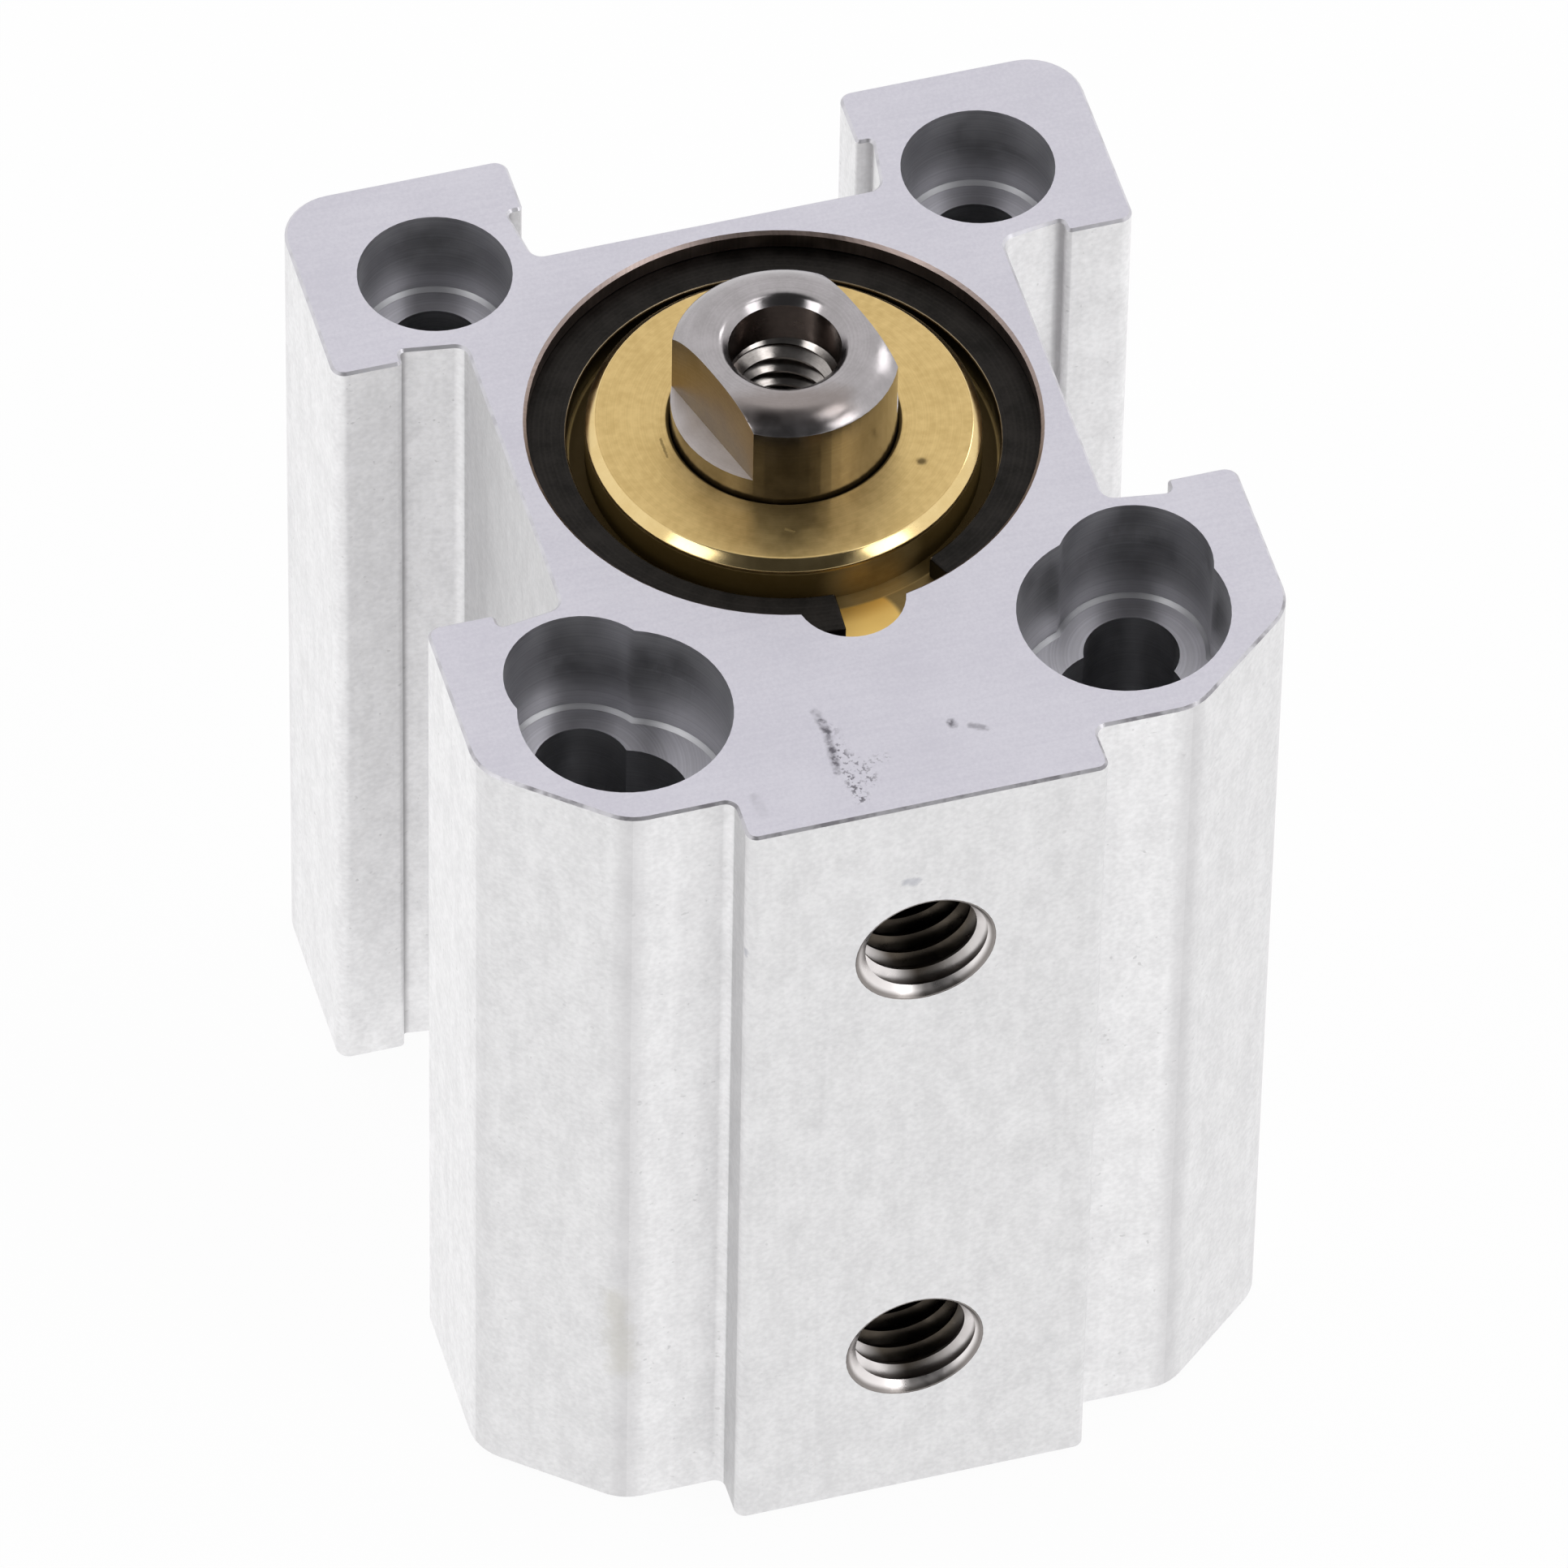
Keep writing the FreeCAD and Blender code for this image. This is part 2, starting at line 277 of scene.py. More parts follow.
def strokes(tree, place, marks, ragged):    # each mark: from, to, width, strength
    wobble = maths(tree, "MULTIPLY", maths(tree, "SUBTRACT", grain(tree, place, ragged), 0.5), ragged)
    mask = 0.0
    for start, end, width, strength in marks:
        line = (Vector(end) - Vector(start)) * mm
        offset = vectors(tree, "SUBTRACT", place, Vector(start) * mm)["Vector"]
        share = vectors(tree, "DOT_PRODUCT", offset, line / line.length_squared)["Value"]
        share = maths(tree, "MULTIPLY", share, 1.0, clamp=True)
        foot = addNode(tree, "ShaderNodeVectorMath", {0: line, "Scale": share}, operation="SCALE")
        away = maths(tree, "ADD", vectors(tree, "DISTANCE", offset, foot.outputs["Vector"])["Value"], wobble)
        near, far = (part * width * mm for part in strokeFade)
        mark = mapRange(tree, away, near, far, strength, 0.0)
        mask = maths(tree, "MAXIMUM", mask, mark)
    return mask


sideSettings = {
    "pale": (0.965, 0.96, 0.967),
    "dull": (0.805, 0.80, 0.807),
    "speckSize": 0.20 * mm,
    "cloudSize": 0.75 * mm,
    "cloudStretch": (1.0, 1.0, 0.5),
    "mottleSize": 2.4 * mm,
    "drawSize": 0.35 * mm,          # drawing lines of the extrusion, along Z
    "drawStretch": (1.0, 1.0, 0.02),
    "weights": (0.45, 0.35, 0.15, 0.15),    # of specks, clouds, mottle and drawing lines
    "spread": (0.33, 0.77),
    "pitSize": 0.30 * mm,
    "pitEdge": (0.72, 0.80),
    "pitColour": (0.74, 0.735, 0.74),
    "roughness": (0.50, 0.62),
    "bump": (0.30, 0.012 * mm),
    "stains": [((-10.6, -16.5, 11.2), (-10.35, -16.6, 7.4), 1.0, 0.40)],
    "stainColour": (0.62, 0.60, 0.53),
    "stainRagged": 0.8 * mm,
    "smudges": [((-0.75, -18.55, 33.1), (-0.42, -18.55, 33.05), 0.35, 0.40),
                ((-6.45, -18.3, 30.95), (-6.45, -18.3, 30.7), 0.20, 0.45)],
    "smudgeColour": (0.34, 0.35, 0.42),
    "smudgeRagged": 0.2 * mm,
    "creviceShade": [(12.2, 6.8, 0.38, 0.85), (6.8, 12.25, 0.38, 0.70)],    # painted shade where a slot runs behind its lips
    "creviceShadeColour": (0.26, 0.25, 0.26),
    "darkEdgeReflection": [(10.1, 16.45, 0.80, 0.50), (14.55, 12.9, 0.90, 0.15)],   # painted dark reflection along the long edges
    "darkEdgeReflectionColour": (0.62, 0.61, 0.62),
}
wallShadeLevels = {                      # painted light and shade: walls of one skin made paler or darker for how light falls
    "side": 1.0,
    "portFace": 0.905,
    "chamfer": 0.92,
    # painted shade on the narrow side of the port block
    "shadedBlockSide": 0.74,
    "slotRecess": 1.05,
    "slotFloor": 0.80,
}


def alongEdges(tree, place, lines):         # soft bands along Z round points given as |x|, |y|, reach, share
    folded = vectors(tree, "ABSOLUTE", place, (0.0, 0.0, 0.0))["Vector"]
    folded = vectors(tree, "MULTIPLY", folded, (1.0, 1.0, 0.0))["Vector"]
    mask = 0.0
    for x, y, reach, share in lines:
        away = vectors(tree, "DISTANCE", folded, (x * mm, y * mm, 0.0))["Value"]
        mask = maths(tree, "MAXIMUM", mask, mapRange(tree, away, 0.0, reach * mm, share, 0.0))
    return mask


def sideFinish(name):
    s = sideSettings
    finish, tree, shader, place = startFinish(name)
    speck = grain(tree, place, s["speckSize"])
    mottle = grain(tree, place, s["mottleSize"])
    cloud = grain(tree, place, s["cloudSize"], s["cloudStretch"])
    draw = grain(tree, place, s["drawSize"], s["drawStretch"])
    share = mapRange(tree, weigh(tree, zip((speck, cloud, mottle, draw), s["weights"])), *s["spread"])
    dull, pale = ([wallShadeLevels[name] * part for part in s[key]] for key in ("dull", "pale"))
    pits = mapRange(tree, grain(tree, place, s["pitSize"], detail=1.0), *s["pitEdge"])
    skin = mixColour(tree, share, dull, pale)
    skin = mixColour(tree, pits, skin, s["pitColour"])
    # painted dark reflection along the long rounded edges
    skin = mixColour(tree, alongEdges(tree, place, s["darkEdgeReflection"]), skin, s["darkEdgeReflectionColour"])
    # painted shade in the slot corners behind the lips
    skin = mixColour(tree, alongEdges(tree, place, s["creviceShade"]), skin, s["creviceShadeColour"])
    skin = mixColour(tree, strokes(tree, place, s["stains"], s["stainRagged"]), skin, s["stainColour"])
    skin = mixColour(tree, strokes(tree, place, s["smudges"], s["smudgeRagged"]), skin, s["smudgeColour"])
    lay(tree, shader, skin, roughen(tree, mottle, s["roughness"]), speck, *s["bump"])
    return finish


topSettings = {
    "pale": (0.711, 0.694, 0.760),
    "dull": (0.621, 0.603, 0.675),
    "speckSize": 0.12 * mm,
    "mottleSize": 3.0 * mm,
    "facingSize": 0.20 * mm,        # lines of the facing cut, along X
    "facingStretch": (0.06, 1.0, 1.0),
    "weights": (0.5, 0.5, 0.3),     # of specks, mottle and facing lines
    "spread": (0.40, 0.90),
    "metallic": 0.5,
    "roughness": (0.50, 0.56),
    "bump": (0.25, 0.006 * mm),
    "level": 37.0,
    "markColour": (0.055, 0.047, 0.065),
    "ragged": 0.16 * mm,
    "brokenSize": 0.24 * mm,        # grain that breaks the scratch up
    "brokenEdge": (0.34, 0.60, 0.25, 1.0),
    "dotSize": 0.15 * mm,           # and grain that leaves only dots of the scuffs
    "dotEdge": (0.50, 0.64),
    "scratches": [                  # on the port block: from x, y to x, y, width, strength
        (-2.69, -13.45, -2.60, -13.95, 0.28, 0.40), (-2.60, -13.90, -2.52, -14.45, 0.30, 0.85),
        (-2.54, -14.50, -2.60, -15.20, 0.26, 0.60), (-2.60, -15.25, -2.65, -15.95, 0.28, 0.85),
        (-2.65, -15.95, -2.70, -16.35, 0.22, 0.55), (1.74, -15.11, 1.78, -15.28, 0.28, 0.80),
        (2.36, -15.46, 2.82, -15.70, 0.26, 0.45), (-5.75, -16.70, -5.68, -17.45, 0.36, 0.16),
    ],
    "scuffs": [
        (-2.40, -15.30, -2.22, -17.70, 0.50, 0.75), (-2.10, -15.90, -1.72, -16.95, 0.62, 0.60),
        (-1.70, -16.25, -0.98, -16.10, 0.46, 0.40), (-2.30, -14.30, -2.15, -15.30, 0.40, 0.22),
    ],
}


def topFinish():
    s = topSettings
    finish, tree, shader, place = startFinish("facedEnd", s["metallic"])
    speck = grain(tree, place, s["speckSize"])
    mottle = grain(tree, place, s["mottleSize"])
    facing = grain(tree, place, s["facingSize"], s["facingStretch"])
    share = mapRange(tree, weigh(tree, zip((speck, mottle, facing), s["weights"])), *s["spread"])
    skin = mixColour(tree, share, s["dull"], s["pale"])
    for marks, size, edge in (("scratches", "brokenSize", "brokenEdge"), ("scuffs", "dotSize", "dotEdge")):
        runs = [((x1, y1, s["level"]), (x2, y2, s["level"]), *rest) for x1, y1, x2, y2, *rest in s[marks]]
        broken = mapRange(tree, grain(tree, place, s[size]), *s[edge])
        nicks = maths(tree, "MULTIPLY", strokes(tree, place, runs, s["ragged"]), broken)
        skin = mixColour(tree, nicks, skin, s["markColour"])
    height = maths(tree, "ADD", speck, facing)
    lay(tree, shader, skin, roughen(tree, mottle, s["roughness"]), height, *s["bump"])
    return finish


edgeSettings = {
    "rearTone": (0.70, 0.69, 0.73),
    "pale": (0.58, 0.57, 0.60),
    "nick": (0.30, 0.29, 0.31),
    "nickSize": 0.70 * mm,
    "nickEdge": (0.42, 0.66),
    "front": (-13.6 * mm, -11.0 * mm, 1.0, 0.25),    # the edges towards the front are darker and nicked the most
    "roughness": (0.40, 0.55),
    "bump": (0.40, 0.03 * mm),
}


def brokenEdgeFinish():
    s = edgeSettings
    finish, tree, shader, place = startFinish("brokenEdge")
    nick = grain(tree, place, s["nickSize"])
    towardFront = mapRange(tree, splitPlace(tree, place)["Y"], *s["front"])
    skin = mixColour(tree, towardFront, s["rearTone"], s["pale"])
    nicked = maths(tree, "MULTIPLY", mapRange(tree, nick, *s["nickEdge"]), towardFront)
    skin = mixColour(tree, nicked, skin, s["nick"])
    lay(tree, shader, skin, roughen(tree, nick, s["roughness"]), nick, *s["bump"])
    return finish


holeSettings = {
    "boredWall": {"pale": (0.69, 0.69, 0.71), "dull": (0.53, 0.53, 0.55), "roughness": (0.38, 0.48)},
    "spotFaced": {"pale": (0.66, 0.65, 0.69), "dull": (0.50, 0.49, 0.52), "roughness": (0.38, 0.50)},
    # painted reflection of the brass collar and painted shade: the bore above the ring and its rim are tinted
    # brown and darkened
    "seatBoreBrassReflection": {"pale": (0.34, 0.275, 0.25), "dull": (0.23, 0.185, 0.17), "roughness": (0.30, 0.42)},
    "boreRimBrassReflection": {"pale": (0.44, 0.355, 0.33), "dull": (0.31, 0.25, 0.23), "roughness": (0.30, 0.40)},
}
holeGrain = {
    "line": 0.10 * mm,
    "mottle": 1.2 * mm,
    "weights": (0.6, 0.4),          # of lines and mottle
    "centre": (10.0 * mm, 9.85 * mm, 0.0),
    "bump": (0.30, 0.008 * mm),
}


def holeFinish(name):
    s = holeSettings[name]
    finish, tree, shader, place = startFinish(name)
    folded = vectors(tree, "ABSOLUTE", place, (0.0, 0.0, 0.0))["Vector"]
    ring = fromAxis(tree, vectors(tree, "SUBTRACT", folded, holeGrain["centre"])["Vector"])
    along = splitPlace(tree, place)["Z"] if name == "boredWall" else ring
    lines = turnedLines(tree, along, holeGrain["line"])
    mottle = grain(tree, place, holeGrain["mottle"])
    share = mapRange(tree, weigh(tree, zip((lines, mottle), holeGrain["weights"])), *noiseSettings["span"])
    skin = mixColour(tree, share, s["dull"], s["pale"])
    lay(tree, shader, skin, roughen(tree, mottle, s["roughness"]), lines, *holeGrain["bump"])
    return finish


tappedSettings = {
    # painted light and shade: the thread is painted pale at the mouth and dark deeper in
    "mouth": (0.86, 0.82, 0.81),
    "deep": (0.105, 0.088, 0.070),
    "face": 18.55 * mm,
    "depthShadeFade": (-0.4 * mm, 1.0 * mm),
    "leftLitReach": 1.15,              # painted light: the turns stay painted pale further in at the left and a little at the right
    "rightLitReach": 0.35,
    # painted shadow round the rim of the port
    "lipShadowColour": (0.13, 0.112, 0.10),
    "lipShadowRadius": (2.30 * mm, 2.45 * mm),
    "lipShadowShare": 0.80,
    "halfway": 18.5 * mm,           # between the two ports, which lie this far from it
    "offset": 10.8 * mm,
    "mottleSize": 0.5 * mm,
    "roughness": (0.26, 0.38),
    "bump": (0.20, 0.02 * mm),
}


def tappedAlloyFinish():
    s = tappedSettings
    finish, tree, shader, place = startFinish("tappedAlloy")
    mottle = grain(tree, place, s["mottleSize"])
    across, depth, height = splitPlace(tree, place)
    aside = maths(tree, "MAXIMUM", maths(tree, "MULTIPLY", across, -s["leftLitReach"]),
                  maths(tree, "MULTIPLY", across, s["rightLitReach"]))
    inside = maths(tree, "SUBTRACT", maths(tree, "ADD", depth, s["face"]), aside)
    # painted light at the mouth, painted shade deeper in
    skin = mixColour(tree, mapRange(tree, inside, *s["depthShadeFade"]), s["mouth"], s["deep"])
    rise = maths(tree, "ABSOLUTE", maths(tree, "SUBTRACT", height, s["halfway"]))
    rise = maths(tree, "SUBTRACT", rise, s["offset"])
    spoke = addNode(tree, "ShaderNodeCombineXYZ", {0: across, 1: rise}).outputs[0]
    # painted shadow round the rim of the port
    lipShadow = mapRange(tree, fromAxis(tree, spoke), *s["lipShadowRadius"], 0.0, s["lipShadowShare"])
    skin = mixColour(tree, lipShadow, skin, s["lipShadowColour"])
    lay(tree, shader, skin, roughen(tree, mottle, s["roughness"]), mottle, *s["bump"])
    return finish


brassSettings = {
    "pale": (0.70, 0.51, 0.222),
    "dull": (0.555, 0.391, 0.157),
    "lineSize": 0.07 * mm,
    "speckSize": 0.30 * mm,
    "mottleSize": 1.1 * mm,
    "weights": (0.30, 0.35, 0.35),  # of lines, specks and mottle
    "spread": (0.34, 0.66),
    "notchLightColour": (0.78, 0.53, 0.165),  # painted light on the flange that the split ring leaves uncovered in the notch
    "roughness": (0.31, 0.38),
    "bump": (0.18, 0.006 * mm),
    "shadeAndMarkColour": (0.048, 0.027, 0.003),
    "shadeAndMarkMetal": 0.25,
    "shadeAndMarkSheen": 0.10,
    "shadeAndMarkRoughness": 0.60,
    "flangeLevel": (36.62 * mm, 36.72 * mm),   # painted shade in the groove round the collar
    "grooveRadius": (7.50 * mm, 7.62 * mm),
    "grooveShadeShare": 0.92,
    "notch": (0.0, -8.53 * mm, 0.0),
    "notchEdge": (1.80 * mm, 2.05 * mm),
    # painted shade on the flange under the split ring, outside the notch
    "underRingShadeShare": 0.60,
    "rodGapShade": (4.13 * mm, 4.18 * mm),       # and painted shade in the countersink round the rod
    "rodGapShadeShare": 0.85,
    "notchLighting": [((0.9, -7.1, 36.0), (2.0, -6.9, 36.0), 2.2, 0.65)],   # painted light: less of the painted shade where the notch lets light in
    "notchLightingRagged": 0.3 * mm,
    "marks": [((4.09, -3.25, 37.15), (4.12, -3.25, 37.15), 0.32, 0.75),
              ((-4.45, 0.15, 37.15), (-4.45, -0.72, 37.15), 0.09, 0.45),
              ((-1.37, -5.09, 37.15), (-1.13, -5.28, 37.15), 0.10, 0.45)],
    "markRagged": 0.1 * mm,
}


def brassFinish():
    s = brassSettings
    finish, tree, shader, place = startFinish("turnedBrass")
    shader.inputs["Specular IOR Level"].default_value = s["shadeAndMarkSheen"]
    lines = turnedLines(tree, aroundAxis(tree, place), s["lineSize"])
    mottle = grain(tree, place, s["mottleSize"])
    speck = grain(tree, place, s["speckSize"])
    share = mapRange(tree, weigh(tree, zip((lines, speck, mottle), s["weights"])), *s["spread"])
    skin = mixColour(tree, share, s["dull"], s["pale"])
    height, radius = splitPlace(tree, place)["Z"], fromAxis(tree, place)
    low = mapRange(tree, height, *s["flangeLevel"], 1.0, 0.0)
    near = mapRange(tree, radius, *s["grooveRadius"], s["grooveShadeShare"], 0.0)
    outside = maths(tree, "MULTIPLY", low, mapRange(tree, radius, *s["grooveRadius"]))
    flat = vectors(tree, "MULTIPLY", place, (1.0, 1.0, 0.0))["Vector"]
    inNotch = mapRange(tree, vectors(tree, "DISTANCE", flat, s["notch"])["Value"], *s["notchEdge"], 1.0, 0.0)
    # painted light on the flange seen through the notch
    notchLight = maths(tree, "MULTIPLY", outside, inNotch)
    underRingShade = maths(tree, "MULTIPLY", maths(tree, "SUBTRACT", outside, notchLight), s["underRingShadeShare"])
    gapShade = mapRange(tree, radius, *s["rodGapShade"], s["rodGapShadeShare"], 0.0)
    notchLighting = maths(tree, "SUBTRACT", 1.0, strokes(tree, place, s["notchLighting"], s["notchLightingRagged"]))
    # painted shade in the groove and round the rod, joined with the real marks
    shadeAndMarks = maths(tree, "MULTIPLY", maths(tree, "MULTIPLY", low, near), notchLighting)
    shadeAndMarks = maths(tree, "MAXIMUM", maths(tree, "MAXIMUM", shadeAndMarks, gapShade), underRingShade)
    shadeAndMarks = maths(tree, "MAXIMUM", shadeAndMarks, strokes(tree, place, s["marks"], s["markRagged"]))
    skin = mixColour(tree, notchLight, skin, s["notchLightColour"])
    skin = mixColour(tree, shadeAndMarks, skin, s["shadeAndMarkColour"])
    brassRoughness = roughen(tree, mottle, s["roughness"])
    roughness = weigh(tree, [(brassRoughness, 1.0), (shadeAndMarks, s["shadeAndMarkRoughness"] - s["roughness"][1])])
    tree.links.new(mapRange(tree, shadeAndMarks, 0.0, 1.0, 1.0, s["shadeAndMarkMetal"]), shader.inputs["Metallic"])
    lay(tree, shader, skin, roughness, lines, *s["bump"])
    return finish


turnedSettings = {                  # metal, unless it says otherwise
    "groundSteel": {"pale": (0.43, 0.405, 0.415), "dull": (0.34, 0.32, 0.325), "roughness": (0.16, 0.26)},
    "rodWall": {"pale": (0.30, 0.275, 0.25), "dull": (0.23, 0.21, 0.19), "roughness": (0.16, 0.24)},
    "polishedBrass": {"pale": (0.82, 0.63, 0.31), "dull": (0.74, 0.55, 0.25), "roughness": (0.12, 0.18)},
    # painted reflection of the brass collar: the rod's steel flat is tinted gold-brown
    "milledFlatBrassReflection": {"pale": (0.31, 0.235, 0.135), "dull": (0.215, 0.16, 0.09), "roughness": (0.36, 0.44)},
    "milledLedge": {"pale": (0.80, 0.77, 0.80), "dull": (0.68, 0.65, 0.68), "roughness": (0.48, 0.58)},
    "drilledSteel": {"pale": (0.27, 0.225, 0.205), "dull": (0.15, 0.125, 0.115), "roughness": (0.16, 0.28)},
    "cutThread": {"pale": (0.47, 0.44, 0.42), "dull": (0.31, 0.285, 0.27), "roughness": (0.14, 0.24)},
    # the ring's inner edge, where the black finish has come off, tinted gold as a painted reflection of the
    # brass
    "wornEdgeBrassReflection": {"pale": (0.36, 0.29, 0.19), "dull": (0.22, 0.17, 0.11), "roughness": (0.26, 0.36)},
    "blackRing": {"pale": (0.030, 0.027, 0.025), "dull": (0.013, 0.012, 0.011), "roughness": (0.34, 0.46)},
    "nitrileRubber": {"metallic": 0.0, "pale": (0.030, 0.030, 0.031),
                      "dull": (0.016, 0.016, 0.017), "roughness": (0.50, 0.66)},
    "bumperRubber": {"metallic": 0.0, "pale": (0.052, 0.049, 0.046),
                     "dull": (0.030, 0.028, 0.027), "roughness": (0.58, 0.74)},
    "turnedAluminium": {"pale": (0.78, 0.78, 0.79), "dull": (0.64, 0.64, 0.66), "roughness": (0.28, 0.42)},
    "pistonAlloy": {"pale": (0.70, 0.70, 0.70), "dull": (0.56, 0.56, 0.57), "roughness": (0.32, 0.46)},
    "bondedMagnet": {"metallic": 0.0, "pale": (0.075, 0.073, 0.072),
                     "dull": (0.040, 0.039, 0.039), "roughness": (0.46, 0.62)},
    "zincPlated": {"pale": (0.62, 0.61, 0.58), "dull": (0.46, 0.45, 0.43), "roughness": (0.26, 0.40)},
    "guidePlastic": {"metallic": 0.0, "pale": (0.50, 0.42, 0.29),
                     "dull": (0.40, 0.33, 0.22), "roughness": (0.40, 0.56)},
}
tipShade = {                        # painted shade on the front of the rod's end face
    "runs": [((-2.3, -2.6, 41.1), (0.9, -3.2, 41.1), 1.5, 0.60)],
    "ragged": 0.5 * mm,
    "colour": (0.215, 0.175, 0.155),
}
turnedGrain = {
    "line": 0.09 * mm,
    "speck": 0.12 * mm,
    "mottle": 0.9 * mm,
    "weights": (0.3, 0.2, 0.5),     # of lines, specks and mottle
    "spread": (0.32, 0.68),
    "relief": (0.7, 0.3),           # of lines and specks
    "bump": (0.14, 0.005 * mm),
}


def turnedFinish(name):
    s = turnedSettings[name]
    finish, tree, shader, place = startFinish(name, s.get("metallic", 1.0))
    lines = turnedLines(tree, aroundAxis(tree, place), turnedGrain["line"])
    speck = grain(tree, place, turnedGrain["speck"])
    mottle = grain(tree, place, turnedGrain["mottle"])
    blend = weigh(tree, zip((lines, speck, mottle), turnedGrain["weights"]))
    share = mapRange(tree, blend, *turnedGrain["spread"])
    skin = mixColour(tree, share, s["dull"], s["pale"])
    # painted shade towards the front of the rod's end face
    if name == "groundSteel":
        tipShadeMask = strokes(tree, place, tipShade["runs"], tipShade["ragged"])
        skin = mixColour(tree, tipShadeMask, skin, tipShade["colour"])
    height = weigh(tree, zip((lines, speck), turnedGrain["relief"]))
    lay(tree, shader, skin, roughen(tree, mottle, s["roughness"]), height, *turnedGrain["bump"])
    return finish


finishes = {name: sideFinish(name) for name in wallShadeLevels}
finishes.update({name: holeFinish(name) for name in holeSettings})
finishes.update({name: turnedFinish(name) for name in turnedSettings})
finishes.update(top=topFinish(), brokenEdge=brokenEdgeFinish())
finishes.update(brass=brassFinish(), tappedAlloy=tappedAlloyFinish())
print(len(finishes), "finishes mixed")


meshSettings = {
    "merge": 0.0005 * mm,           # corners this close are one
    "flat": math.radians(0.3),      # faces within this angle are one
    "crease": math.radians(32.0),   # edges past this angle stay sharp
    "flatWeight": 100,
}


def pick(piece):
    bpy.ops.object.select_all(action="DESELECT")
    piece.select_set(True)
    bpy.context.view_layer.objects.active = piece


def cleanCopy(node, name):
    piece = cadNodes[node].copy()
    piece.data = cadNodes[node].data.copy()
    piece.name = name
    piece.data.name = name
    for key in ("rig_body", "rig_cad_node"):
        del piece[key]
    piece.parent = None
    bpy.context.scene.collection.objects.link(piece)
    pick(piece)
    bpy.ops.object.mode_set(mode="EDIT")
    bpy.ops.mesh.select_all(action="SELECT")
    bpy.ops.mesh.remove_doubles(threshold=meshSettings["merge"])
    bpy.ops.mesh.customdata_custom_splitnormals_clear()
    bpy.ops.mesh.dissolve_limited(angle_limit=meshSettings["flat"])
    bpy.ops.object.mode_set(mode="OBJECT")
    piece.data.materials.clear()
    return piece


def smoothSkin(piece):
    pick(piece)
    bpy.ops.object.shade_smooth_by_angle(angle=meshSettings["crease"])
    weighted = piece.modifiers.new("flatFaces", "WEIGHTED_NORMAL")
    weighted.weight = meshSettings["flatWeight"]
    weighted.keep_sharp = True
    bpy.ops.object.modifier_apply(modifier=weighted.name)


def paintFaces(piece, names, finishOf):
    for name in names:
        piece.data.materials.append(finishes[name])
    for face in piece.data.polygons:
        face.material_index = names.index(finishOf(face))


def seat(piece, node):              # the piece stands for its CAD node and moves with it
    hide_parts(node)
    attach(piece, bodyOf[node])
    print(piece.name, len(piece.data.polygons), "faces")


bodySettings = {
    "height": 37.0,
    "rim": 0.2,
    "level": 0.99,                  # how far a normal leans on ends, floors, walls, rims and slants
    "floor": 0.9,
    "wall": 0.9,
    "rimLean": 0.5,
    "slant": 0.3,
    "recesses": [(10, 10, 2.81), (10, -9.7, 2.81), (9, -11.7, 3.81)],   # |x|, y, reach
    "recessFloor": (32.2, 33.35),
    "seat": 9.45,
    "notch": (0, -8.53, 2.1),
    "ports": [7.7, 29.3],
    "portReach": 2.66,
    "portFace": -18.545,
    "shadedBlockSide": (-18.1, -16.7),
    "chamferFrom": 7.5,
    "slotReach": 6.8,
    "slotFloor": 9.95,
    "slotLip": 12.15,
    "finishes": ["side", "top", "portFace", "chamfer", "shadedBlockSide", "slotRecess", "slotFloor", "brokenEdge",
                 "boredWall", "spotFaced", "seatBoreBrassReflection", "boreRimBrassReflection", "tappedAlloy"],
}


def boredFinishOf(x, y, z, normal):
    s = bodySettings
    inNotch = math.hypot(x - s["notch"][0], y - s["notch"][1]) < s["notch"][2]
    if math.hypot(x, y) < s["seat"] or inNotch:
        onRim = abs(normal.z) > s["rimLean"] and not s["rim"] < z < s["height"] - s["rim"]
        return "boreRimBrassReflection" if onRim else "seatBoreBrassReflection"
    for holeX, holeY, reach in s["recesses"]:
        if math.hypot(abs(x) - holeX, y - holeY) < reach:
            onFloor = normal.z > s["floor"] and s["recessFloor"][0] < z < s["recessFloor"][1]
            return "spotFaced" if onFloor else "boredWall"
    for port in s["ports"]:
        if y < 0 and y > s["portFace"] and math.hypot(x, z - port) < s["portReach"]:
            return "tappedAlloy"
    return None


def skinFinishOf(x, y, normal):
    s = bodySettings
    if s["shadedBlockSide"][0] < y < s["shadedBlockSide"][1] and abs(normal.x) > s["wall"]:
        return "shadedBlockSide"
    if y < s["shadedBlockSide"][0]:
        return "portFace"
    slants = abs(normal.x) > s["slant"] and normal.y < -s["slant"]
    if y < 0 and slants and abs(x) > s["chamferFrom"]:
        return "chamfer"
    across, deep = (abs(y), abs(x)) if abs(y) < s["slotReach"] else (abs(x), y)
    if across < s["slotReach"] and 0 < deep < s["slotLip"]:
        return "slotFloor" if deep < s["slotFloor"] else "slotRecess"
    return "side"


def bodyFinishOf(face):
    s = bodySettings
    x, y, z = face.center / mm
    normal = face.normal
    onEnd = not s["rim"] < z < s["height"] - s["rim"]
    if abs(normal.z) > s["level"] and onEnd:
        return "top"
    bored = boredFinishOf(x, y, z, normal)
    if bored:
        return bored
    if onEnd and abs(normal.z) > s["slant"]:
        return "brokenEdge"
    return skinFinishOf(x, y, normal)


def dressBody():
    body = cleanCopy("cylinder_body", "housing")
    paintFaces(body, bodySettings["finishes"], bodyFinishOf)
    smoothSkin(body)
    seat(body, "cylinder_body")


dressBody()


